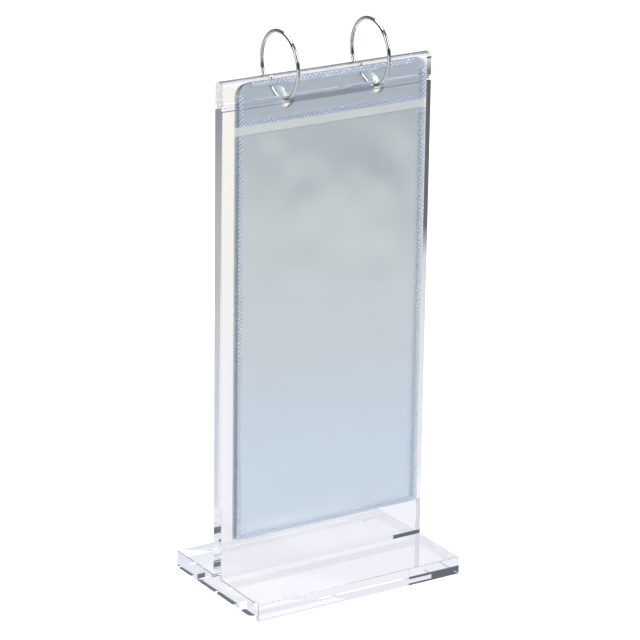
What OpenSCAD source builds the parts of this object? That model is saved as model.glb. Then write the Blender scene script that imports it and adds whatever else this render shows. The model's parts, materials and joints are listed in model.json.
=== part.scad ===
// Desktop flip album: a clear upright panel glued to a clear base plate, with a
// sprung wire clip whose two rings carry a stack of punched clear pocket pages.
// +X runs along the width, -Y is the front, +Z is up, and the origin is centred
// on the surface that the feet rest on.

/* [Base] */
// Width of the base plate and of the upright panel, in mm
base_w = 120; // [112:1:160]
// Depth of the base plate, front to back, in mm
base_d = 80; // [60:1:120]
// Thickness of the base plate, in mm
base_t = 9.5; // [6:0.5:15]
// Width of the fine bevel on the edges of both slabs, in mm
edge_bevel = 0.4; // [0.2:0.1:0.8]

/* [Feet] */
// Diameter of each bumper foot, in mm
foot_d = 10; // [6:0.5:14]
// Height of each bumper foot, in mm
foot_h = 1.5; // [1:0.25:3]
// Distance from the edges of the base to the rim of a foot, in mm
foot_inset = 3.5; // [2:0.5:10]

/* [Panel] */
// Thickness of the upright panel, in mm
panel_t = 7.5; // [6:0.5:12]
// Height of the upright panel above the base, in mm
panel_h = 257; // [252:1:320]
// Radius of the two rounded long edges along the panel's top, in mm
panel_round = 2.8; // [1:0.2:2.8]
// Width of the wire groove across the front and back faces, in mm
groove_w = 3; // [2.6:0.1:4]

/* [Wire clip] */
// Diameter of the wire, in mm
wire_d = 2; // [1.5:0.1:2.4]
// Diameter of each ring, along the middle of the wire, in mm
ring_d = 33.5; // [30:0.5:42]
// Distance between the middles of the two rings, in mm
ring_spacing = 52; // [40:1:80]
// Height of the ring centres above the top of the panel, in mm
ring_rise = 4; // [2:0.5:5]
// Radius of the bends between the rings, the bar and the tails, in mm
bend_r = 2.5; // [2:0.25:4]
// Length of the short straight between a ring and its bend, in mm
lead_len = 0.6; // [0.3:0.1:2]
// Length of the tails that lie in the rear groove, in mm
tail_len = 8; // [4:1:14]

/* [Pages] */
// Width of the inside of a pocket, in mm
pocket_w = 103; // [90:1:106]
// Height of the inside of a pocket, in mm
pocket_h = 207.5; // [150:0.5:210]
// Width of the welded margin round a pocket, in mm
weld_w = 2.5; // [2:0.25:4]
// Height of the double strip that the holes are punched in, in mm
header_h = 21.5; // [20:0.5:28]
// Height of the open mouth between the strip and the pocket, in mm
mouth_h = 4.5; // [3:0.5:8]
// Radius of the two upper corners of a page, in mm
page_corner_r = 6; // [3:0.5:8]
// Radius of the two lower corners of a page, in mm
page_foot_r = 1.5; // [1:0.5:5]
// Diameter of the punched holes, in mm
hole_d = 6; // [5:0.5:7]
// Distance from the middle of a hole to the top of the page, in mm
hole_margin = 12; // [9:0.5:14]
// Thickness of one film, in mm
film_t = 0.2; // [0.15:0.05:0.3]

/* [Clearances] */
// Space between the wire and the floor of its groove, in mm
wire_seat_gap = 0.02; // [0.01:0.01:0.1]
// Space between the bar of the clip and the rearmost page, in mm
bar_gap = 0.3; // [0.2:0.05:1]
// Space between one page and the next, in mm
page_gap = 0.3; // [0.2:0.05:0.5]
// Space between the wire and the upper edge of a hole, in mm
hole_gap = 1; // [0.8:0.1:1.4]

/* [Hidden] */

$fn = 64;
page_count = 6;
wire_r = wire_d / 2;
hole_r = hole_d / 2;
cut_past = 1; // how far a cut runs past the face that it opens
top_lap = 10; // degrees that each half of a ring runs on past its top

// Heights
base_top = foot_h + base_t;
panel_top = base_top + panel_h;
ring_z = panel_top + ring_rise;

// Wire clip: the bar lies in the front groove, and each ring turns into it
// ring_open degrees from the lowest point of its circle
ring_r = ring_d / 2;
groove_r = groove_w / 2;
bar_y = panel_t / 2 - groove_r + wire_seat_gap + wire_r;
bend_reach = lead_len + bend_r;
ring_open = asin(bar_y / norm([ring_r, bend_reach])) + atan(bend_reach / ring_r);
bar_z = ring_z - ring_r * cos(ring_open) - bend_reach * sin(ring_open);
bar_half = ring_spacing / 2 - bend_r;

// Pages
page_w = pocket_w + 2 * weld_w;
page_h = header_h + mouth_h + pocket_h + weld_w;
pocket_film_h = pocket_h + weld_w;
page_t = 2 * film_t;
page_pitch = page_t + page_gap;
rear_page_y = bar_y + wire_r + bar_gap;

// Distance from the panel's middle plane to the back of page k, 1 at the front
function page_y(k) = rear_page_y + (page_count - k) * page_pitch;
// Height of the holes of page k, which follow the ring round
function hole_z(k) =
    ring_z - sqrt(pow(ring_r, 2) - pow(page_y(k) + film_t, 2)) - (hole_r - wire_r - hole_gap);
function page_top(k) = hole_z(k) + hole_margin;

// Rectangle centred on X, with its top at z = 0 and a bevel on all four corners
module bevelled_rect(w, h, bevel) {
    polygon([
        [-w / 2 + bevel, -h], [w / 2 - bevel, -h], [w / 2, -h + bevel], [w / 2, -bevel],
        [w / 2 - bevel, 0], [-w / 2 + bevel, 0], [-w / 2, -bevel], [-w / 2, -h + bevel]
    ]);
}

// Block with its top at z = 0 and a bevel along every edge
module bevelled_block(w, d, h, bevel) {
    intersection() {
        rotate([90, 0, 0]) linear_extrude(d, center = true) bevelled_rect(w, h, bevel);
        rotate([90, 0, 90]) linear_extrude(w, center = true) bevelled_rect(d, h, bevel);
        translate([0, 0, -h]) linear_extrude(h) translate([0, d / 2]) bevelled_rect(w, d, bevel);
    }
}

module base_plate() {
    color("aliceblue")
    translate([0, 0, base_top])
        bevelled_block(base_w, base_d, base_t, edge_bevel);
}

// Side view of the panel, with both long edges along the top rounded over
module panel_section() {
    square([panel_t, panel_h - panel_round]);
    translate([panel_round, 0]) square([panel_t - 2 * panel_round, panel_h]);
    for (y = [panel_round, panel_t - panel_round])
        translate([y, panel_h - panel_round]) circle(panel_round);
}

module wire_groove(side) {
    translate([0, side * panel_t / 2, bar_z])
        rotate([0, 90, 0]) cylinder(r = groove_r, h = base_w + 2 * cut_past, center = true);
}

module upright_panel() {
    color("azure")
    difference() {
        intersection() {
            translate([-base_w / 2, -panel_t / 2, base_top])
                rotate([90, 0, 90]) linear_extrude(base_w) panel_section();
            translate([0, 0, panel_top])
                rotate([90, 0, 0]) linear_extrude(panel_t + cut_past, center = true)
                    bevelled_rect(base_w, panel_h, edge_bevel);
            translate([0, panel_t / 2, base_top])
                linear_extrude(panel_h) bevelled_rect(base_w, panel_t, edge_bevel);
        }
        wire_groove(-1);
        wire_groove(1);
    }
}

// Foot with its rim eased where it meets the table
module foot(side_x, side_y) {
    rim = foot_h / 4;
    foot_r = foot_d / 2;
    color("gainsboro")
    translate([
        side_x * (base_w / 2 - foot_inset - foot_r),
        side_y * (base_d / 2 - foot_inset - foot_r), 0
    ])
        rotate_extrude()
            polygon([[0, 0], [foot_r - rim, 0], [foot_r, rim], [foot_r, foot_h], [0, foot_h]]);
}

// Turns its children from straight below the ring's centre to where the ring ends
module at_ring_end() {
    rotate([-ring_open, 0, 0]) children();
}

// Lead, quarter turn and straight wire, in line from the end of the ring
module bend_and_straight(straight_len) {
    at_ring_end() {
        translate([0, 0, -ring_r])
            rotate([-90, 0, 0]) cylinder(r = wire_r, h = lead_len);
        translate([-bend_r, lead_len, -ring_r]) {
            rotate_extrude(angle = 90) translate([bend_r, 0]) circle(wire_r);
            translate([0, bend_r, 0])
                rotate([0, -90, 0]) cylinder(r = wire_r, h = straight_len);
        }
    }
}

// Front half of a ring about its own centre, from its lower end to past the top
module ring_half() {
    at_ring_end()
        mirror([0, 1, 0]) rotate([90, 0, 90]) rotate([0, 0, -90])
            rotate_extrude(angle = 180 - ring_open + top_lap) translate([ring_r, 0]) circle(wire_r);
}

// Each side is a ring, half the bar in the front groove and a tail in the rear one
module ring_wire() {
    color("silver")
    for (side = [0, 1])
        mirror([side, 0, 0])
            translate([ring_spacing / 2, 0, ring_z]) {
                ring_half();
                bend_and_straight(bar_half);
                mirror([0, 1, 0]) {
                    ring_half();
                    bend_and_straight(tail_len);
                }
            }
}

// What is left outside a round corner of radius r, in the corner of a sheet
module corner_waste(r) {
    difference() {
        square(r + cut_past);
        circle(r);
    }
}

// Sheet outline centred on X, hanging down from z = 0, with rounded corners
module sheet_outline(w, h, r_top, r_bottom) {
    difference() {
        translate([-w / 2, -h]) square([w, h]);
        for (side = [0, 1])
            mirror([side, 0]) {
                if (r_top > 0) translate([w / 2 - r_top, -r_top]) corner_waste(r_top);
                if (r_bottom > 0)
                    translate([w / 2 - r_bottom, r_bottom - h]) mirror([0, 1]) corner_waste(r_bottom);
            }
    }
}

module hole_pair() {
    for (side = [-1, 1])
        translate([side * ring_spacing / 2, -hole_margin]) circle(hole_r);
}

// Puts a flat outline of page k on its layer: 0 is the back film, 1 lies on it
module page_layer(k, layer, drop = 0) {
    translate([0, -page_y(k) - layer * film_t, page_top(k) - drop])
        rotate([90, 0, 0]) linear_extrude(film_t) children();
}

module page_back_film(k) {
    color("lightsteelblue")
    page_layer(k, 0) difference() {
        sheet_outline(page_w, page_h, page_corner_r, page_foot_r);
        hole_pair();
    }
}

module page_header_strip(k) {
    color("lightslategray")
    page_layer(k, 1) difference() {
        sheet_outline(page_w, header_h, page_corner_r, 0);
        hole_pair();
    }
}

module page_pocket_film(k) {
    color("lightblue")
    page_layer(k, 1, header_h + mouth_h) sheet_outline(page_w, pocket_film_h, 0, page_foot_r);
}

base_plate();
upright_panel();
ring_wire();
foot(-1, -1);  // foot_front_left
foot(1, -1);  // foot_front_right
foot(-1, 1);  // foot_back_left
foot(1, 1);  // foot_back_right
for (k = [1:page_count]) {
    page_back_film(k);
    page_header_strip(k);
    page_pocket_film(k);
}
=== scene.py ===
"""Desktop flip album: cemented clear slabs, a chromed ring wire, bumper feet, and the
soft vinyl pocket pages that hang from the rings.

Every length is in metres unless its name ends in _mm."""

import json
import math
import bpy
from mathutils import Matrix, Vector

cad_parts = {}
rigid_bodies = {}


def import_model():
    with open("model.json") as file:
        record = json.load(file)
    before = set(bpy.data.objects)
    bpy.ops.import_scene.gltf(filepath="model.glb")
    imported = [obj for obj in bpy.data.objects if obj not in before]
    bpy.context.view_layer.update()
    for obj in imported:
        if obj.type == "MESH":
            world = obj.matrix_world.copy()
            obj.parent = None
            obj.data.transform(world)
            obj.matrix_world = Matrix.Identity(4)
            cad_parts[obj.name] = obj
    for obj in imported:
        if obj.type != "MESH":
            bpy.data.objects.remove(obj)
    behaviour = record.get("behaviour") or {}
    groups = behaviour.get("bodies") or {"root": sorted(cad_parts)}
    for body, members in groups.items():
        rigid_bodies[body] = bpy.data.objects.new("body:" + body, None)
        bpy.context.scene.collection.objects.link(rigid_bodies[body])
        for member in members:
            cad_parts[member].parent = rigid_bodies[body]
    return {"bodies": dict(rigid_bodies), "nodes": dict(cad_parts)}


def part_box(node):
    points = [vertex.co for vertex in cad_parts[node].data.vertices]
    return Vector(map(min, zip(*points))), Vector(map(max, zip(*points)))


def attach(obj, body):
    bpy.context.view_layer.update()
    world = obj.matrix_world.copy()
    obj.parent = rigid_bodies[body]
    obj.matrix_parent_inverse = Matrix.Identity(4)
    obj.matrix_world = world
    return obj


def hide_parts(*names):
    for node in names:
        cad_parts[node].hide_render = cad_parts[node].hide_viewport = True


bl_info = {
    "name": "Flip Album Stand",
    "version": (1, 0, 0),
    "blender": (4, 5, 0),
    "location": "View3D > Sidebar > Album",
    "description": "Builds the pages and finishes of a clear desktop flip album",
    "category": "Object",
}

import bmesh
import bpy
from mathutils import Matrix, Vector, noise
from mathutils.geometry import delaunay_2d_cdt

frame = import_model()

PAGES = sorted(name for name in frame["bodies"] if name.startswith("page_"))
SLABS = ("base_plate", "upright_panel")
FEET = tuple(name for name in frame["nodes"] if name.startswith("foot_"))

ARC_STEPS = 24  # faces along each rounded stretch of a slab
WIRE_SIDES = 28
RING_STEPS = 120
FOOT_SIDES = 64
DOME_DEGREES = (20, 45, 70)  # where a rounded end or rim gets its rings

# Slow waves of a soft film: length across and down the page, and share of the height
BROAD_WAVE = (0.034, 0.042, 0.62)
SHORT_WAVE = (0.015, 0.019, 0.38)
CREASE_LEAN = (0.5, 0.866)  # a crease runs outwards and up, 30 degrees from upright
CREASE_WIDTH = 0.0024

FLOOR_RADIUS = 6.0
FLOOR_DROP = 0.0002  # keeps the floor's face clear of the feet and the paper
PAPER_RADIUS = 5.5
DRAPE_RADIUS = 3.0
DRAPE_HEIGHT = 3.4
STAGE_SEGMENTS = 96
STACK_BOUNCES = 64  # light crosses up to twelve films and two slabs, there and back
SOFTBOXES = {
    "overhead_softbox": {"place": (0.0, 0.3, 1.9), "aim": (0, 0, 0), "size": (1.3, 1.3), "watts": 56},
    "front_softbox": {"place": (0.75, -1.0, 1.05), "aim": (0, 0, 0.2), "size": (0.9, 0.9), "watts": 9},
    "left_softbox": {"place": (-1.7, -0.3, 0.9), "aim": (0, 0, 0.15), "size": (0.4, 1.2), "watts": 8},
}


def box_size(node):
    """Width, depth and height of a CAD node."""
    low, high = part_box(node)
    return high - low


# --- Colours and materials -------------------------------------------------


def linear_colour(hex_colour):
    """sRGB hex such as "#C0D0E0" as a linear RGBA tuple."""
    channels = []
    for start in (1, 3, 5):
        value = int(hex_colour[start : start + 2], 16) / 255
        channels.append(value / 12.92 if value <= 0.04045 else ((value + 0.055) / 1.055) ** 2.4)
    return (*channels, 1.0)


def add_node(tree, kind, settings=None, inputs=None, links=None, stops=None):
    """A new node with its properties, input values, incoming links and ramp stops set."""
    node = tree.nodes.new(kind)
    for name, value in (settings or {}).items():
        setattr(node, name, value)
    for name, value in (inputs or {}).items():
        node.inputs[name].default_value = value
    for name, source in (links or {}).items():
        tree.links.new(source, node.inputs[name])
    if stops:
        elements = node.color_ramp.elements
        while len(elements) < len(stops):
            elements.new(1.0)
        for element, (position, hex_colour) in zip(elements, stops):
            element.position = position
            element.color = linear_colour(hex_colour)
    return node


def new_material(name):
    """An empty node material and its tree."""
    material = bpy.data.materials.new(name)
    material.use_nodes = True
    material.node_tree.nodes.clear()
    return material, material.node_tree


def noise_height(tree, size_mm, detail=2.0):
    """Noise whose lumps are size_mm across, in the object's own space."""
    place = add_node(tree, "ShaderNodeTexCoord")
    return add_node(
        tree,
        "ShaderNodeTexNoise",
        inputs={"Scale": 1000 / size_mm, "Detail": detail, "Roughness": 0.5},
        links={"Vector": place.outputs["Object"]},
    ).outputs["Fac"]


def finish_clear(tree, shader, shadow_colour):
    """Output for a clear material. Lamp light passes straight through, tinted shadow_colour."""
    path = add_node(tree, "ShaderNodeLightPath")
    passing = add_node(
        tree, "ShaderNodeBsdfTransparent", inputs={"Color": linear_colour(shadow_colour)}
    )
    mixed = add_node(
        tree,
        "ShaderNodeMixShader",
        links={
            0: path.outputs["Is Shadow Ray"],
            1: shader.outputs["BSDF"],
            2: passing.outputs["BSDF"],
        },
    )
    add_node(tree, "ShaderNodeOutputMaterial", links={"Surface": mixed.outputs["Shader"]})


def cast_acrylic(colour):
    """Cast acrylic sheet, flame polished: glass clear, with a mirror-smooth skin that
    rolls very slightly, so long reflections waver instead of lying dead straight."""
    material, tree = new_material("cast_acrylic_polished")
    relief = add_node(
        tree,
        "ShaderNodeBump",
        inputs={"Strength": 0.05, "Distance": 0.0001},
        links={"Height": noise_height(tree, 45, 1.0)},
    )
    shader = add_node(
        tree,
        "ShaderNodeBsdfPrincipled",
        inputs={
            "Base Color": linear_colour(colour),
            "Roughness": 0.0,
            "IOR": 1.49,
            "Transmission Weight": 1.0,
        },
        links={"Normal": relief.outputs["Normal"]},
    )
    finish_clear(tree, shader, "#F4F6F8")
    return material


def chrome_plate():
    """Bright chromium plate on drawn spring wire: a near-perfect mirror with faint
    haze left by the drawing die."""
    material, tree = new_material("chromium_plated_wire")
    rough = add_node(
        tree,
        "ShaderNodeMapRange",
        inputs={"From Min": 0.3, "From Max": 0.7, "To Min": 0.03, "To Max": 0.08},
        links={"Value": noise_height(tree, 3)},
    )
    shader = add_node(
        tree,
        "ShaderNodeBsdfPrincipled",
        inputs={"Base Color": linear_colour("#CDCDCC"), "Metallic": 1.0},
        links={"Roughness": rough.outputs["Result"]},
    )
    add_node(tree, "ShaderNodeOutputMaterial", links={"Surface": shader.outputs["BSDF"]})
    return material


def soft_polyurethane():
    """Clear moulded polyurethane bumper: water clear, with a faintly satin skin."""
    material, tree = new_material("soft_polyurethane_clear")
    rough = add_node(
        tree,
        "ShaderNodeMapRange",
        inputs={"From Min": 0.3, "From Max": 0.7, "To Min": 0.04, "To Max": 0.12},
        links={"Value": noise_height(tree, 1.5, 3.0)},
    )
    shader = add_node(
        tree,
        "ShaderNodeBsdfPrincipled",
        inputs={"Base Color": linear_colour("#FAFCFD"), "IOR": 1.5, "Transmission Weight": 1.0},
        links={"Roughness": rough.outputs["Result"]},
    )
    finish_clear(tree, shader, "#F2F4F6")
    return material


def pressed_vinyl(colour, pitch):
    """Heat-pressed vinyl: the knurled jaws leave a grid of milky points in clear film. The
    real points are finer than pitch, and are drawn this coarse so that they show."""
    material, tree = new_material("pressed_vinyl_weld")
    place = add_node(tree, "ShaderNodeTexCoord")
    grid = add_node(
        tree,
        "ShaderNodeMapping",
        inputs={"Rotation": (0, math.radians(45), 0), "Scale": (1 / pitch, 0, 1 / pitch)},
        links={"Vector": place.outputs["Object"]},
    )
    cell = add_node(
        tree,
        "ShaderNodeTexVoronoi",
        settings={"voronoi_dimensions": "3D"},
        inputs={"Scale": 1.0, "Randomness": 0.12},
        links={"Vector": grid.outputs["Vector"]},
    )
    clear = add_node(
        tree,
        "ShaderNodeMapRange",
        settings={"interpolation_type": "SMOOTHSTEP"},
        inputs={"From Min": 0.22, "From Max": 0.36, "To Min": 0.65, "To Max": 1.0},
        links={"Value": cell.outputs["Distance"]},
    )
    shader = add_node(
        tree,
        "ShaderNodeBsdfPrincipled",
        inputs={"Base Color": linear_colour(colour), "Roughness": 0.08, "IOR": 1.53},
        links={"Transmission Weight": clear.outputs["Result"]},
    )
    finish_clear(tree, shader, "#F0F3F6")
    return material


def vinyl(name, colour):
    """Calendered soft vinyl: clear with a cold cast, and a skin that the rollers
    leave slightly uneven, in lumps 6 mm across and 0.002 mm high."""
    material, tree = new_material(name)
    relief = add_node(
        tree,
        "ShaderNodeBump",
        inputs={"Strength": 1.0, "Distance": 0.000002},
        links={"Height": noise_height(tree, 6)},
    )
    shader = add_node(
        tree,
        "ShaderNodeBsdfPrincipled",
        inputs={
            "Base Color": linear_colour(colour),
            "Roughness": 0.0,
            "IOR": 1.53,
            "Transmission Weight": 1.0,
        },
        links={"Normal": relief.outputs["Normal"]},
    )
    finish_clear(tree, shader, "#F6F8FA")
    return material


def painted_floor(colour):
    """Matt white emulsion on a smooth board: even, with a trace of roller mottle."""
    material, tree = new_material("matt_white_board")
    rough = add_node(
        tree,
        "ShaderNodeMapRange",
        inputs={"To Min": 0.75, "To Max": 0.9},
        links={"Value": noise_height(tree, 120)},
    )
    shader = add_node(
        tree,
        "ShaderNodeBsdfPrincipled",
        inputs={"Base Color": linear_colour(colour), "Specular IOR Level": 0.2},
        links={"Roughness": rough.outputs["Result"]},
    )
    add_node(tree, "ShaderNodeOutputMaterial", links={"Surface": shader.outputs["BSDF"]})
    return material


def level_place(tree):
    """Where a point of the stage lies on the floor plan, from the object's middle."""
    place = add_node(tree, "ShaderNodeTexCoord")
    return add_node(
        tree,
        "ShaderNodeVectorMath",
        settings={"operation": "MULTIPLY"},
        inputs={1: (1, 1, 0)},
        links={0: place.outputs["Object"]},
    ).outputs["Vector"]


def toward(tree, level, direction, low, high):
    """1 where a place lies in this level direction from the object and 0 away from it. low
    and high are the cosines between which it fades in."""
    unit = add_node(
        tree, "ShaderNodeVectorMath", settings={"operation": "NORMALIZE"}, links={0: level}
    ).outputs["Vector"]
    facing = add_node(
        tree,
        "ShaderNodeVectorMath",
        settings={"operation": "DOT_PRODUCT"},
        inputs={1: direction},
        links={0: unit},
    ).outputs["Value"]
    return add_node(
        tree,
        "ShaderNodeMapRange",
        settings={"interpolation_type": "SMOOTHSTEP"},
        inputs={"From Min": low, "From Max": high},
        links={"Value": facing},
    ).outputs["Result"]


def painted_light_sheet(name, sectors, base_stops, strength):
    """Studio paper or drape that glows with painted light rather than being lit by the lamps. Its glow
    is one run of tones over the first metre out from the object, and another in each sector, which is
    (level direction, cosine where it starts, cosine where it is full, stops)."""
    material, tree = new_material(name)
    level = level_place(tree)
    reach = add_node(
        tree, "ShaderNodeVectorMath", settings={"operation": "LENGTH"}, links={0: level}
    ).outputs["Value"]
    base = add_node(tree, "ShaderNodeValToRGB", links={"Fac": reach}, stops=base_stops)
    colour = base.outputs["Color"]
    for direction, low, high, stops in sectors:
        ramp = add_node(tree, "ShaderNodeValToRGB", links={"Fac": reach}, stops=stops)
        laid_on = {
            "Factor": toward(tree, level, direction, low, high),
            6: colour,
            7: ramp.outputs["Color"],
        }
        mixed = add_node(
            tree, "ShaderNodeMix", settings={"data_type": "RGBA"}, links=laid_on
        )
        colour = mixed.outputs[2]
    # Painted light: the sheet glows in these tones by itself, and no lamp lights it.
    glow = add_node(
        tree, "ShaderNodeEmission", inputs={"Strength": strength}, links={"Color": colour}
    )
    add_node(tree, "ShaderNodeOutputMaterial", links={"Surface": glow.outputs["Emission"]})
    material.cycles.emission_sampling = "NONE"
    return material


# --- Meshes ----------------------------------------------------------------


def plain_mesh(name, mesh_data):
    """A mesh from this bmesh, which is freed."""
    mesh = bpy.data.meshes.new(name)
    mesh_data.to_mesh(mesh)
    mesh_data.free()
    return mesh


def smooth_mesh(name, mesh_data, crisp_deg=50):
    """A mesh from this bmesh, shaded smooth but crisp at edges sharper than crisp_deg."""
    bmesh.ops.recalc_face_normals(mesh_data, faces=mesh_data.faces)
    mesh = plain_mesh(name, mesh_data)
    mesh.shade_smooth()
    mesh.set_sharp_from_angle(angle=math.radians(crisp_deg))
    return mesh


def new_object(name, mesh, material=None):
    """An object of this mesh in the scene, with this one material on every face."""
    obj = bpy.data.objects.new(name, mesh)
    bpy.context.scene.collection.objects.link(obj)
    mesh.materials.clear()
    if material:
        mesh.materials.append(material)
    return obj


def bridge(mesh_data, rings):
    """Skins rings of vertices in order. A ring of one vertex closes an end to a point."""
    for first, second in zip(rings, rings[1:]):
        count = max(len(first), len(second))
        for i in range(count):
            j = (i + 1) % count
            corners = [
                first[i % len(first)],
                first[j % len(first)],
                second[j % len(second)],
                second[i % len(second)],
            ]
            mesh_data.faces.new(list(dict.fromkeys(corners)))


def turned(mesh_data, profile, centre, segments):
    """Closed turned shape about an upright axis. profile is (radius, z), top to bottom,
    and starts and ends on the axis."""
    rings = []
    for radius, z in profile:
        count = segments if radius > 0 else 1
        turns = [2 * math.pi * i / count for i in range(count)]
        places = [
            (centre.x + radius * math.cos(t), centre.y + radius * math.sin(t), z) for t in turns
        ]
        rings.append([mesh_data.verts.new(place) for place in places])
    bridge(mesh_data, rings)


def round_bar(mesh_data, path, radius, sides):
    """Round bar swept along path, with domed ends."""
    points = [Vector(p) for p in path]
    first_way = (points[0] - points[1]).normalized()
    last_way = (points[-1] - points[-2]).normalized()
    dome = [(1 - math.cos(math.radians(a)), math.sin(math.radians(a))) for a in DOME_DEGREES]
    start, end = points[0], points[-1]
    middle = (start - first_way * radius, *points[1:-1], end - last_way * radius)
    stations = [(start, 0.0)]
    stations += [(start - first_way * radius * sink, share) for sink, share in dome]
    stations += [(point, 1.0) for point in middle]
    stations += [(end - last_way * radius * sink, share) for sink, share in reversed(dome)]
    stations.append((end, 0.0))
    side = first_way.orthogonal().normalized()
    rings = []
    for i, (centre, share) in enumerate(stations):
        before = stations[max(i - 1, 0)][0]
        after = stations[min(i + 1, len(stations) - 1)][0]
        way = (after - before).normalized()
        side = (side - way * side.dot(way)).normalized()
        other = way.cross(side)
        count = sides if share > 0 else 1
        turns = [2 * math.pi * k / count for k in range(count)]
        spokes = [side * math.cos(t) + other * math.sin(t) for t in turns]
        rings.append([mesh_data.verts.new(centre + spoke * radius * share) for spoke in spokes])
    bridge(mesh_data, rings)


def smooth_step(value, low, high):
    """0 below low, 1 above high, and a soft ramp between them."""
    share = min(max((value - low) / (high - low), 0.0), 1.0)
    return share * share * (3 - 2 * share)


def page_wave(x, z, settings):
    """How far a page stands proud of flat, towards the front, at a place on it.
    All pages share it, so a stack nests. z runs down from 0 at the top."""
    width, height, header = settings.page_width, settings.page_height, settings.header_height
    # The welds hold the sides nearly flat, the doubled header is stiff, and the lowest
    # third hangs straighter than the rest
    by_side = 0.25 + 0.75 * smooth_step(width / 2 - abs(x), 0.002, 0.016)
    below_header = 0.06 + 0.94 * smooth_step(-z, header * 0.7, header + 0.03)
    upper = 0.55 + 0.45 * smooth_step(height * 0.62 + z, 0.0, 0.05)
    across, down, broad_share = BROAD_WAVE
    broad = noise.noise(Vector((x / across + 0.4, z / down, 3.1)))
    across, down, short_share = SHORT_WAVE
    short = noise.noise(Vector((x / across, z / down, 8.7)))
    wave = broad_share * broad + short_share * short
    swell = settings.wave_height * wave * by_side * below_header * upper
    foot = smooth_step(-z, height * 0.88, height * 0.94) * smooth_step(height + z, 0.0, 0.010)
    roll = settings.foot_roll * foot * by_side
    return swell + roll + hole_crease(x, z, settings)


def hole_crease(x, z, settings):
    """Ridge that the wire pulls up in the film, from each hole towards the top of the page."""
    total = 0.0
    out, up = CREASE_LEAN
    for side in (-1, 1):
        dx = side * x - settings.hole_spacing / 2
        dz = z + settings.hole_margin
        along = dx * out + dz * up
        across = dx * up - dz * out
        reach = smooth_step(along, 0.001, 0.004) * (1 - smooth_step(along, 0.005, 0.012))
        total += settings.crease_height * reach * math.exp(-((across / CREASE_WIDTH) ** 2))
    return total


def arc_points(cx, cz, radius, start_deg, end_deg, steps):
    """Points along an arc, both ends included."""
    points = []
    for i in range(steps + 1):
        angle = math.radians(start_deg + (end_deg - start_deg) * i / steps)
        points.append((cx + radius * math.cos(angle), cz + radius * math.sin(angle)))
    return points


def evenly_spaced(points, spacing):
    """The closed outline with extra points so that no gap is wider than spacing."""
    dense = []
    for i, start in enumerate(points):
        end = points[(i + 1) % len(points)]
        parts = max(1, math.ceil(math.dist(start, end) / spacing))
        for part in range(parts):
            share = part / parts
            x = start[0] + (end[0] - start[0]) * share
            z = start[1] + (end[1] - start[1]) * share
            dense.append((x, z))
    return dense


def sheet_outline(width, top, bottom, r_top, r_bottom, spacing):
    """Outline of a sheet in the XZ plane, anticlockwise, with rounded corners."""
    half = width / 2
    corners = [
        (half - r_top, top - r_top, r_top, 0),
        (-half + r_top, top - r_top, r_top, 90),
        (-half + r_bottom, bottom + r_bottom, r_bottom, 180),
        (half - r_bottom, bottom + r_bottom, r_bottom, 270),
    ]
    points = []
    for cx, cz, radius, start in corners:
        points += arc_points(cx, cz, radius, start, start + 90, 6)
    return evenly_spaced(points, spacing)


def shell(mesh_data, flat, faces, back_at, front_at):
    """Closed thin shell over flat triangles. back_at and front_at give each face's place in
    front of the page's back plane, from x and z."""
    back = [mesh_data.verts.new((p[0], -back_at(*p), p[1])) for p in flat]
    front = [mesh_data.verts.new((p[0], -front_at(*p), p[1])) for p in flat]
    for face in faces:
        mesh_data.faces.new([front[i] for i in face])
        mesh_data.faces.new([back[i] for i in reversed(face)])
    for a, b in rim_edges(faces):
        mesh_data.faces.new([back[a], back[b], front[b], front[a]])
    loose = [v for v in back + front if not v.link_faces]
    bmesh.ops.delete(mesh_data, geom=loose, context="VERTS")


def film_triangles(outline, holes, spacing):
    """Places and triangles that fill an outline round its holes, which are (x, z, radius)."""
    loops = [outline] + [arc_points(x, z, r, 0, 345, 23) for x, z, r in holes]
    points, edges = [], []
    for loop in loops:
        first = len(points)
        points += loop
        edges += [(first + i, first + (i + 1) % len(loop)) for i in range(len(loop))]
    xs = [p[0] for p in outline]
    zs = [p[1] for p in outline]
    columns = max(2, round((max(xs) - min(xs)) / spacing))
    rows = max(2, round((max(zs) - min(zs)) / spacing))
    for row in range(1, rows):
        for column in range(1, columns):
            x = min(xs) + (max(xs) - min(xs)) * column / columns
            z = min(zs) + (max(zs) - min(zs)) * row / rows
            if inside_sheet(x, z, outline, holes, spacing * 0.45):
                points.append((x, z))
    flat, _, faces, *_ = delaunay_2d_cdt(
        [Vector(p) for p in points], edges, [tuple(range(len(outline)))], 1, 1e-7
    )
    flat = [(p.x, p.y) for p in flat]
    return flat, [f for f in faces if not in_a_hole(f, flat, holes)]


def film_mesh(name, outline, holes, layer, settings):
    """One film of a page, as a closed thin shell on the page's wave. layer counts from the back."""
    gap = box_size("page_1_back_film").y
    skin = gap * settings.film_share

    def back_at(x, z):
        return layer * gap + page_wave(x, z, settings)

    def front_at(x, z):
        return back_at(x, z) + skin

    flat, faces = film_triangles(outline, holes, settings.film_grid)
    mesh_data = bmesh.new()
    shell(mesh_data, flat, faces, back_at, front_at)
    return smooth_mesh(name, mesh_data)


def inside_sheet(x, z, outline, holes, margin):
    """True where a grid point is inside the outline and clear of its rim and of the holes."""
    if any(math.dist((x, z), (hx, hz)) < radius + margin for hx, hz, radius in holes):
        return False
    return all(math.dist((x, z), p) > margin for p in outline) and within(x, z, outline)


def within(x, z, outline):
    """True if the point is inside the closed outline."""
    crossings = False
    for i, (x0, z0) in enumerate(outline):
        x1, z1 = outline[(i + 1) % len(outline)]
        if (z0 > z) != (z1 > z) and x < x0 + (z - z0) / (z1 - z0) * (x1 - x0):
            crossings = not crossings
    return crossings


def in_a_hole(face, flat, holes):
    """True if the middle of a triangle lies in a hole."""
    cx = sum(flat[i][0] for i in face) / len(face)
    cz = sum(flat[i][1] for i in face) / len(face)
    return any(math.dist((cx, cz), (hx, hz)) < radius for hx, hz, radius in holes)


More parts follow.
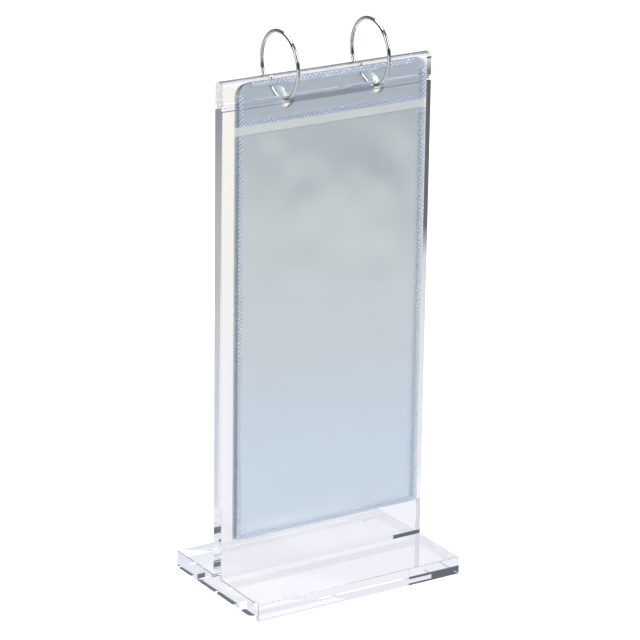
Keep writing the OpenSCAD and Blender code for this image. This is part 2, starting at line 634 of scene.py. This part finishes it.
def rim_edges(faces):
    """Directed edges that only one face uses."""
    directed = set()
    for face in faces:
        for i, a in enumerate(face):
            directed.add((a, face[(i + 1) % len(face)]))
    return sorted(e for e in directed if (e[1], e[0]) not in directed)


def weld_strip(mesh_data, start, end, settings, back):
    """Knurled strip from start to end, two places (x, z) on the middle of the weld. back is
    how far it lies in front of the page's back plane."""
    length = math.dist(start, end)
    width, pitch = settings.weld_width, settings.weld_pitch
    step = pitch / 4
    rows = math.ceil(length / step)
    columns = max(4, math.ceil(width / step))
    ux, uz = (end[0] - start[0]) / length, (end[1] - start[1]) / length
    flat, rise = [], {}
    for row in range(rows + 1):
        along = length * row / rows
        for column in range(columns + 1):
            across = width * (column / columns - 0.5)
            place = (start[0] + ux * along - uz * across, start[1] + uz * along + ux * across)
            teeth = math.cos(math.pi * (along + across) / pitch)
            teeth *= math.cos(math.pi * (along - across) / pitch)
            edge = 1 - smooth_step(abs(across), width * 0.4, width * 0.5)
            rise[place] = settings.weld_height * teeth * teeth * edge
            flat.append(place)
    faces = []
    for row in range(rows):
        for column in range(columns):
            a = row * (columns + 1) + column
            faces.append((a, a + 1, a + columns + 2, a + columns + 1))

    def back_at(x, z):
        return back + page_wave(x, z, settings)

    def front_at(x, z):
        return back_at(x, z) + settings.weld_skin + rise[(x, z)]

    shell(mesh_data, flat, faces, back_at, front_at)


def weld_mesh(settings):
    """The welds that join the films of one page: both sides, the foot and round the header."""
    both_films = 2 * box_size("page_1_back_film").y
    band = settings.weld_width
    rim = 0.0003  # unpressed film outside a side or foot weld
    top_rim = 0.0004
    clear = band * 0.55  # a cross weld starts this far in from the middle of a side weld
    side = settings.page_width / 2 - band / 2 - rim
    top = -band / 2 - top_rim
    header_foot = -settings.header_height + clear
    pocket_top = -(settings.header_height + settings.mouth_height) - 0.0005
    foot = -settings.page_height + band / 2 + rim
    corner = settings.corner_radius
    strips = [
        ((-side, -corner), (-side, header_foot - band / 2)),
        ((side, -corner), (side, header_foot - band / 2)),
        ((-side, pocket_top), (-side, foot)),
        ((side, pocket_top), (side, foot)),
        ((-side + clear, foot), (side - clear, foot)),
        ((-side + clear, header_foot), (side - clear, header_foot)),
        ((-side + corner, top), (side - corner, top)),
    ]
    mesh_data = bmesh.new()
    for start, end in strips:
        weld_strip(mesh_data, start, end, settings, both_films)
    return smooth_mesh("page_weld", mesh_data, crisp_deg=80)


def place_on_page(name, mesh, page, material):
    """An object of this mesh in the page's own place, riding on the page."""
    obj = new_object(name, mesh, material)
    _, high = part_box(f"{page}_back_film")
    obj.location = (0.0, high.y, high.z)
    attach(obj, page)
    return obj


# --- Settings --------------------------------------------------------------


def length_setting(name, description, default):
    """A length that a user can change."""
    return bpy.props.FloatProperty(
        name=name,
        description=description,
        default=default,
        precision=5,
        unit="LENGTH",
        subtype="DISTANCE",
    )


class AlbumStandSettings(bpy.types.PropertyGroup):
    """Sizes and finish of the slabs and the ring wire"""

    colour: bpy.props.StringProperty(
        name="Acrylic tint", description="Tint of the clear acrylic, as sRGB hex", default="#FDFDFE"
    )
    edge_ease: length_setting("Edge ease", "Width of the eased edges of the slabs", 0.00018)
    crown_radius: length_setting("Crown radius", "Radius of the panel's rounded top edges", 0.0028)
    groove_radius: length_setting("Groove radius", "Radius of the two wire grooves", 0.0015)
    sunk_depth: length_setting("Sunk depth", "How far the panel runs into the base to join it", 0.002)
    wire_radius: length_setting("Wire radius", "Radius of the ring wire", 0.001)
    ring_radius: length_setting("Ring radius", "Radius of a ring, to the wire's middle", 0.01675)
    ring_spacing: length_setting("Ring spacing", "Distance between the rings' middles", 0.052)
    bend_radius: length_setting("Bend radius", "Radius of the bends out of a ring", 0.0025)
    lead_length: length_setting("Lead length", "Straight wire between a ring and its bend", 0.0006)
    tail_length: length_setting("Tail length", "Straight wire in the rear groove", 0.008)
    bar_offset: length_setting("Bar offset", "From the panel's middle to the bar's middle", 0.00327)


class AlbumPageSettings(bpy.types.PropertyGroup):
    """Sizes and colours of the pocket pages"""

    page_width: length_setting("Page width", "Width of a page", box_size("page_1_back_film").x)
    page_height: length_setting("Page height", "Height of a page", box_size("page_1_back_film").z)
    header_height: length_setting(
        "Header height",
        "Height of the doubled strip with the holes",
        box_size("page_1_header_strip").z,
    )
    mouth_height: length_setting(
        "Mouth height",
        "Height of the pocket's open mouth",
        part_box("page_1_header_strip")[0].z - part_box("page_1_pocket_film")[1].z,
    )
    corner_radius: length_setting("Corner radius", "Radius of a page's upper corners", 0.006)
    foot_radius: length_setting("Foot radius", "Radius of a page's lower corners", 0.0015)
    hole_radius: length_setting("Hole radius", "Radius of the punched holes", 0.003)
    hole_margin: length_setting("Hole margin", "From a page's top to its holes' middles", 0.012)
    hole_spacing: length_setting("Hole spacing", "Distance between the holes' middles", 0.052)
    wave_height: length_setting("Wave height", "Height of the film's slow waves", 0.0012)
    foot_roll: length_setting("Foot roll", "How far the foot of a page curls forward", 0.0005)
    crease_height: length_setting("Crease height", "Height of the ridges by the holes", 0.0005)
    film_grid: length_setting("Film grid", "Spacing of the grid that a film is cut into", 0.003)
    film_share: bpy.props.FloatProperty(
        name="Film share",
        description="Part of a film's space that its vinyl fills, the rest being trapped air",
        default=0.7,
        subtype="FACTOR",
    )
    weld_width: length_setting("Weld width", "Width of a knurled weld", 0.0024)
    weld_pitch: length_setting("Weld pitch", "Spacing of the weld's diamonds", 0.0015)
    weld_height: length_setting("Weld height", "Height of the weld's diamonds", 0.0001)
    weld_skin: length_setting("Weld skin", "Thickness of the weld under its diamonds", 0.00004)
    film_colour: bpy.props.StringProperty(
        name="Film colour", description="Tint of a back film, as sRGB hex", default="#FCFDFE"
    )
    pocket_colour: bpy.props.StringProperty(
        name="Pocket colour",
        description="Tint of a pocket's front film, as sRGB hex",
        default="#FDFEFE",
    )
    weld_colour: bpy.props.StringProperty(
        name="Weld colour", description="Tint of the pressed welds, as sRGB hex", default="#FAFBFD"
    )


class AlbumStageSettings(bpy.types.PropertyGroup):
    """Floor and camera"""

    floor_colour: bpy.props.StringProperty(
        name="Floor colour", description="Colour of the floor, as sRGB hex", default="#F2F2F2"
    )
    lens_mm: bpy.props.FloatProperty(
        name="Lens",
        description="Focal length on a 36 mm sensor",
        default=193.2,
        subtype="DISTANCE_CAMERA",
    )
    bearing: bpy.props.FloatProperty(
        name="Bearing",
        description="Camera's bearing, to the left of the front",
        default=math.radians(32.46),
        unit="ROTATION",
        subtype="ANGLE",
    )
    elevation: bpy.props.FloatProperty(
        name="Elevation",
        description="Camera's height above the horizon",
        default=math.radians(19.25),
        unit="ROTATION",
        subtype="ANGLE",
    )
    roll: bpy.props.FloatProperty(
        name="Roll",
        description="Camera's roll",
        default=math.radians(0.82),
        unit="ROTATION",
        subtype="ANGLE",
    )
    distance: length_setting("Distance", "Camera's distance from its aim", 1.713)
    aim: bpy.props.FloatVectorProperty(
        name="Aim",
        description="Point that the camera looks at",
        default=(-0.0007, 0.0004, 0.1373),
        unit="LENGTH",
        subtype="XYZ",
    )


# --- Operators -------------------------------------------------------------


class ALBUM_OT_slabs(bpy.types.Operator):
    """Cement the upright panel to the base plate as one clear body"""

    bl_idname = "album.slabs"
    bl_label = "Clear slabs"

    def execute(self, context):
        settings = context.scene.album_stand
        base, panel = self.base_block(settings), self.panel_bar(settings)
        joint = base.modifiers.new("cement", "BOOLEAN")
        joint.operation = "UNION"
        joint.solver = "EXACT"
        joint.object = panel
        graph = context.evaluated_depsgraph_get()
        mesh_data = bmesh.new()
        mesh_data.from_mesh(base.evaluated_get(graph).to_mesh())
        for spare in (base, panel):
            bpy.data.objects.remove(spare)
        mesh = smooth_mesh("cemented_slabs", mesh_data, crisp_deg=25)
        slabs = new_object("cemented_slabs", mesh, cast_acrylic(settings.colour))
        shading = slabs.modifiers.new("flat_faces_rule", "WEIGHTED_NORMAL")
        shading.weight = 100
        shading.keep_sharp = True
        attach(slabs, "stand")
        for name in SLABS:
            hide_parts(name)
        return {"FINISHED"}

    def base_block(self, settings):
        """The base plate, with its sharp edges eased by the polishing flame."""
        low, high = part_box("base_plate")
        mesh_data = bmesh.new()
        place = Matrix.Translation((low + high) / 2) @ Matrix.Diagonal((*(high - low), 1))
        bmesh.ops.create_cube(mesh_data, size=1, matrix=place)
        bmesh.ops.bevel(
            mesh_data,
            geom=mesh_data.edges[:],
            offset=settings.edge_ease,
            segments=1,
            affect="EDGES",
            profile=0.5,
        )
        return new_object("base_block", plain_mesh("base_block", mesh_data))

    def panel_bar(self, settings):
        """The upright panel, sunk a little into the base so that the two join as one."""
        low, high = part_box("upright_panel")
        ease = settings.edge_ease
        stations = [(low.x, ease), (low.x + ease, 0), (high.x - ease, 0), (high.x, ease)]
        mesh_data = bmesh.new()
        rings = [
            [mesh_data.verts.new((x, y, z)) for y, z in self.panel_profile(settings, inset)]
            for x, inset in stations
        ]
        bridge(mesh_data, rings)
        mesh_data.faces.new(rings[0])
        mesh_data.faces.new(rings[-1][::-1])
        bmesh.ops.recalc_face_normals(mesh_data, faces=mesh_data.faces)
        return new_object("panel_bar", plain_mesh("panel_bar", mesh_data))

    def panel_profile(self, settings, inset):
        """Side view of the panel, as (y, z) places inset from its surface: up the front past
        the groove, over the rounded top, and down the back."""
        low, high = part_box("upright_panel")
        half = (high.y - low.y) / 2
        sunk = low.z - settings.sunk_depth
        crown = settings.crown_radius
        groove = settings.groove_radius + inset
        swing = math.degrees(math.acos(inset / groove))
        groove_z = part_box("ring_wire")[0].z + settings.wire_radius
        front = [(-half + inset, sunk)]
        front += arc_points(-half, groove_z, groove, -swing, swing, ARC_STEPS)
        front += arc_points(-half + crown, high.z - crown, crown - inset, 180, 90, ARC_STEPS)
        return front + [(-y, z) for y, z in front[::-1]]


class ALBUM_OT_wire(bpy.types.Operator):
    """Bend the ring wire from one length of chromed wire"""

    bl_idname = "album.wire"
    bl_label = "Ring wire"

    def execute(self, context):
        settings = context.scene.album_stand
        mesh_data = bmesh.new()
        round_bar(mesh_data, self.path(settings), settings.wire_radius, WIRE_SIDES)
        mesh = smooth_mesh("ring_wire_bent", mesh_data, crisp_deg=60)
        wire = new_object("ring_wire_bent", mesh, chrome_plate())
        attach(wire, "stand")
        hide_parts("ring_wire")
        return {"FINISHED"}

    def path(self, settings):
        """Middle of the wire from the left tail to the right tail."""
        ring, bend, lead = settings.ring_radius, settings.bend_radius, settings.lead_length
        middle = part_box("ring_wire")[1].z - ring - settings.wire_radius
        offset = settings.ring_spacing / 2
        reach = lead + bend
        opening = math.asin(settings.bar_offset / math.hypot(ring, reach)) + math.atan(reach / ring)

        def place(x, out, face):
            """Point x across and out past the end of the ring, on the rear (1) or front (-1)."""
            y = face * (ring * math.sin(opening) - out * math.cos(opening))
            return (x, y, middle - ring * math.cos(opening) - out * math.sin(opening))

        def turn(face):
            """From the end of the ring round its bend."""
            steps = [math.radians(a) for a in range(0, 91, 6)]
            return [
                place(offset - bend + bend * math.cos(a), lead + bend * math.sin(a), face)
                for a in steps
            ]

        tail = [place(offset - bend - settings.tail_length * s, reach, 1) for s in (1, 0.5)]
        round_trip = 2 * math.pi - 2 * opening
        hoop = [
            (offset, ring * math.sin(t), middle - ring * math.cos(t))
            for t in (opening + round_trip * i / RING_STEPS for i in range(RING_STEPS + 1))
        ]
        right = tail + turn(1)[::-1] + hoop + turn(-1) + [place(offset / 2, reach, -1)]
        left = [(-x, y, z) for x, y, z in right]
        return left + [place(0, reach, -1)] + right[::-1]


class ALBUM_OT_feet(bpy.types.Operator):
    """Mould the bumper feet"""

    bl_idname = "album.feet"
    bl_label = "Bumper feet"

    def execute(self, context):
        bumper = soft_polyurethane()
        for name in FEET:
            low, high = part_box(name)
            mesh_data = bmesh.new()
            turned(mesh_data, self.profile(low, high), (low + high) / 2, FOOT_SIDES)
            mesh = smooth_mesh(f"{name}_bumper", mesh_data, crisp_deg=35)
            foot = new_object(f"{name}_bumper", mesh, bumper)
            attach(foot, "stand")
            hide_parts(name)
        return {"FINISHED"}

    def profile(self, low, high):
        """Half section of a foot from the middle of its top to the middle of its underside."""
        radius = (high.x - low.x) / 2
        ease = 0.0002
        rim = 0.0004  # radius of the edge that it stands on
        foot_radius = radius - 0.0001  # the mould's draft
        top = high.z - 0.00003  # a film of air under the base, so that the two clear faces part
        profile = [(0, top), (radius - ease, top), (radius, top - ease)]
        profile.append((foot_radius, low.z + rim))
        for angle in (math.radians(a) for a in (*DOME_DEGREES, 90)):
            inward = foot_radius - rim * (1 - math.cos(angle))
            profile.append((inward, low.z + rim * (1 - math.sin(angle))))
        return [*profile, (0, low.z)]


class ALBUM_OT_films(bpy.types.Operator):
    """Hang the films of every page"""

    bl_idname = "album.films"
    bl_label = "Page films"

    def execute(self, context):
        settings = context.scene.album_pages
        spacing = settings.film_grid
        header, mouth = settings.header_height, settings.mouth_height
        r_top, r_foot = settings.corner_radius, settings.foot_radius
        holes = [
            (side * settings.hole_spacing / 2, -settings.hole_margin, settings.hole_radius)
            for side in (-1, 1)
        ]
        width, height = settings.page_width, settings.page_height
        r_square = 0.0004  # a corner cut square is still a little round
        back = sheet_outline(width, 0, -height, r_top, r_foot, spacing)
        strip = sheet_outline(width, 0, -header, r_top, r_square, spacing)
        pocket = sheet_outline(width, -header - mouth, -height, r_square, r_foot, spacing)
        cold = vinyl("soft_vinyl_cold", settings.film_colour)
        clear = vinyl("soft_vinyl_clear", settings.pocket_colour)
        films = {
            "back_film": (film_mesh("back_film", back, holes, 0, settings), cold),
            "header_strip": (film_mesh("header_strip", strip, holes, 1, settings), cold),
            "pocket_film": (film_mesh("pocket_film", pocket, [], 1, settings), clear),
        }
        for page in PAGES:
            for node, (mesh, finish) in films.items():
                piece = place_on_page(f"{page}_{node}_sheet", mesh, page, finish)
                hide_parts(f"{page}_{node}")
        return {"FINISHED"}


class ALBUM_OT_welds(bpy.types.Operator):
    """Press the knurled welds into every page"""

    bl_idname = "album.welds"
    bl_label = "Page welds"

    def execute(self, context):
        settings = context.scene.album_pages
        pressed = pressed_vinyl(settings.weld_colour, settings.weld_pitch)
        mesh = weld_mesh(settings)
        for page in PAGES:
            place_on_page(f"{page}_welds", mesh, page, pressed)
        return {"FINISHED"}


def softbox(name, place, aim, size, watts):
    """A rectangular area light at place that shines at aim."""
    lamp = bpy.data.lights.new(name, "AREA")
    lamp.shape = "RECTANGLE"
    lamp.size, lamp.size_y = size
    lamp.energy = watts
    obj = bpy.data.objects.new(name, lamp)
    bpy.context.scene.collection.objects.link(obj)
    obj.location = place
    obj.rotation_euler = (Vector(aim) - Vector(place)).to_track_quat("-Z", "Y").to_euler()


def disc(radius):
    """A flat round sheet."""
    mesh_data = bmesh.new()
    bmesh.ops.create_circle(mesh_data, cap_ends=True, segments=STAGE_SEGMENTS, radius=radius)
    return mesh_data


def hidden_paper(name, mesh_data, material):
    """Glowing paper that only the clear and chromed parts see: its painted light falls on nothing
    else, and it casts no shade.
    """
    obj = new_object(name, plain_mesh(name, mesh_data), material)
    obj.visible_camera = False
    obj.visible_shadow = False
    obj.visible_diffuse = False
    return obj


class ALBUM_OT_stage(bpy.types.Operator):
    """Set out the floor, the lights and the camera"""

    bl_idname = "album.stage"
    bl_label = "Stage"

    def execute(self, context):
        settings = context.scene.album_stage
        self.lay_floor(settings)
        self.lay_paper(settings)
        self.hang_drapes(settings)
        self.hang_lights()
        self.set_camera(context, settings)
        self.set_world(context)
        self.set_passes(context)
        return {"FINISHED"}

    def directions(self, settings):
        """Level directions from the object: behind it, to its front right, where the pages
        reflect the floor, and to its left rear, which its right end shows."""
        across, ahead = math.sin(settings.bearing), math.cos(settings.bearing)
        return (across, ahead, 0), (across, -ahead, 0), (-across, ahead, 0)

    def lay_floor(self, settings):
        """The white board that the object stands on."""
        mesh = plain_mesh("floor", disc(FLOOR_RADIUS))
        floor = new_object("floor", mesh, painted_floor(settings.floor_colour))
        floor.location.z = -FLOOR_DROP

    def lay_paper(self, settings):
        """Paper on the floor that glows with painted light: light all round, grey at the front right
        and with a dark band at the left rear, which gives the clear edges and the films something to
        show."""
        _, mirrored, far_left = self.directions(settings)
        sectors = [
            (
                mirrored,
                0.5,
                0.75,
                [
                    (0.06, "#F4F5FB"),
                    (0.09, "#D8DFEB"),
                    (0.20, "#D0D8E4"),
                    (0.34, "#CDCDD0"),
                    (0.50, "#CAC8CA"),
                    (0.64, "#BCBCC0"),
                    (0.85, "#9A9CA4"),
                    (1.0, "#90929C"),
                ],
            ),
            (
                far_left,
                0.80,
                0.93,
                [
                    (0.0, "#EEF0F6"),
                    (0.30, "#E8E8E8"),
                    (0.46, "#DADADA"),
                    (0.53, "#666668"),
                    (0.92, "#5C5C5E"),
                    (0.97, "#E8E8EC"),
                ],
            ),
        ]
        tones = [(0.0, "#F4F5FB"), (0.25, "#F5F5FA"), (0.55, "#F8F6F0"), (1.0, "#FBF9F1")]
        # Painted light: the paper glows in these tones, dim at the front right and dark at the left
        # rear.
        paper = painted_light_sheet("glowing_paper_painted_light", sectors, tones, 1.02)
        hidden_paper("glowing_toned_paper", disc(PAPER_RADIUS), paper)

    def hang_drapes(self, settings):
        """Drapes round the set that glow with painted light: dark grey, a little lighter at the front
        right and the left rear, and near white behind the object.
        """
        behind, mirrored, far_left = self.directions(settings)
        sectors = [
            (mirrored, 0.7, 0.9, [(0.0, "#5A6270"), (1.0, "#5A6270")]),
            (far_left, 0.75, 0.95, [(0.0, "#5E626C"), (1.0, "#5E626C")]),
            (behind, 0.86, 0.95, [(0.0, "#F0F0F6"), (1.0, "#F0F0F6")]),
        ]
        tones = [(0.0, "#484A4E"), (1.0, "#484A4E")]
        mesh_data = bmesh.new()
        bmesh.ops.create_cone(
            mesh_data,
            cap_ends=False,
            segments=STAGE_SEGMENTS,
            radius1=DRAPE_RADIUS,
            radius2=DRAPE_RADIUS,
            depth=DRAPE_HEIGHT,
        )
        # Painted light: the drapes glow in these tones instead of being lit by the lamps.
        cloth = painted_light_sheet("glowing_drapes_painted_light", sectors, tones, 1.0)
        drapes = hidden_paper("glowing_drapes", mesh_data, cloth)
        drapes.location.z = DRAPE_HEIGHT / 2

    def hang_lights(self):
        """Plain soft light from above, the front right and the left."""
        for name, lamp in SOFTBOXES.items():
            softbox(name, **lamp)

    def set_camera(self, context, settings):
        """The camera on its bearing and elevation, level but for a slight roll."""
        lens = bpy.data.cameras.new("camera")
        lens.lens = settings.lens_mm
        lens.sensor_width = 36
        lens.clip_end = 50
        camera = bpy.data.objects.new("camera", lens)
        context.scene.collection.objects.link(camera)
        bearing, elevation = settings.bearing, settings.elevation
        back = Vector(
            (
                -math.sin(bearing) * math.cos(elevation),
                -math.cos(bearing) * math.cos(elevation),
                math.sin(elevation),
            )
        )
        right = (-back).cross(Vector((0, 0, 1))).normalized()
        level = Matrix((right, back.cross(right), back)).transposed()
        turned_camera = level @ Matrix.Rotation(settings.roll, 3, "Z")
        place = Matrix.Translation(Vector(settings.aim) + back * settings.distance)
        camera.matrix_world = place @ turned_camera.to_4x4()
        context.scene.camera = camera

    def set_world(self, context):
        """A faint even light from all round."""
        world = bpy.data.worlds.new("studio")
        world.use_nodes = True
        tree = world.node_tree
        tree.nodes.clear()
        glow = add_node(
            tree,
            "ShaderNodeBackground",
            inputs={"Color": linear_colour("#F0F2F5"), "Strength": 0.35},
        )
        add_node(tree, "ShaderNodeOutputWorld", links={"Surface": glow.outputs["Background"]})
        context.scene.world = world
        context.scene.view_settings.view_transform = "Standard"

    def set_passes(self, context):
        """Enough bounces for light to cross the whole stack of films and the slabs."""
        cycles = context.scene.cycles
        cycles.max_bounces = STACK_BOUNCES
        cycles.transmission_bounces = STACK_BOUNCES
        cycles.transparent_max_bounces = STACK_BOUNCES
        cycles.glossy_bounces = 16


class ALBUM_PT_panel(bpy.types.Panel):
    """Builds the flip album piece by piece"""

    bl_label = "Flip Album"
    bl_idname = "ALBUM_PT_panel"
    bl_space_type = "VIEW_3D"
    bl_region_type = "UI"
    bl_category = "Album"

    def draw(self, context):
        for operator in OPERATORS:
            self.layout.operator(operator.bl_idname)
        for group_name, group in GROUPS.items():
            for name in group.__annotations__:
                self.layout.prop(getattr(context.scene, group_name), name)


OPERATORS = (
    ALBUM_OT_slabs,
    ALBUM_OT_wire,
    ALBUM_OT_feet,
    ALBUM_OT_films,
    ALBUM_OT_welds,
    ALBUM_OT_stage,
)
GROUPS = {
    "album_stand": AlbumStandSettings,
    "album_pages": AlbumPageSettings,
    "album_stage": AlbumStageSettings,
}


def register():
    for cls in (*GROUPS.values(), *OPERATORS, ALBUM_PT_panel):
        bpy.utils.register_class(cls)
    for name, group in GROUPS.items():
        setattr(bpy.types.Scene, name, bpy.props.PointerProperty(type=group))


def unregister():
    for name in GROUPS:
        delattr(bpy.types.Scene, name)
    for cls in (ALBUM_PT_panel, *reversed(OPERATORS), *reversed(GROUPS.values())):
        bpy.utils.unregister_class(cls)


def main():
    register()
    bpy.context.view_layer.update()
    bpy.ops.album.slabs()
    bpy.ops.album.wire()
    bpy.ops.album.feet()
    bpy.ops.album.films()
    bpy.ops.album.welds()
    bpy.ops.album.stage()


if __name__ == "__main__":
    main()
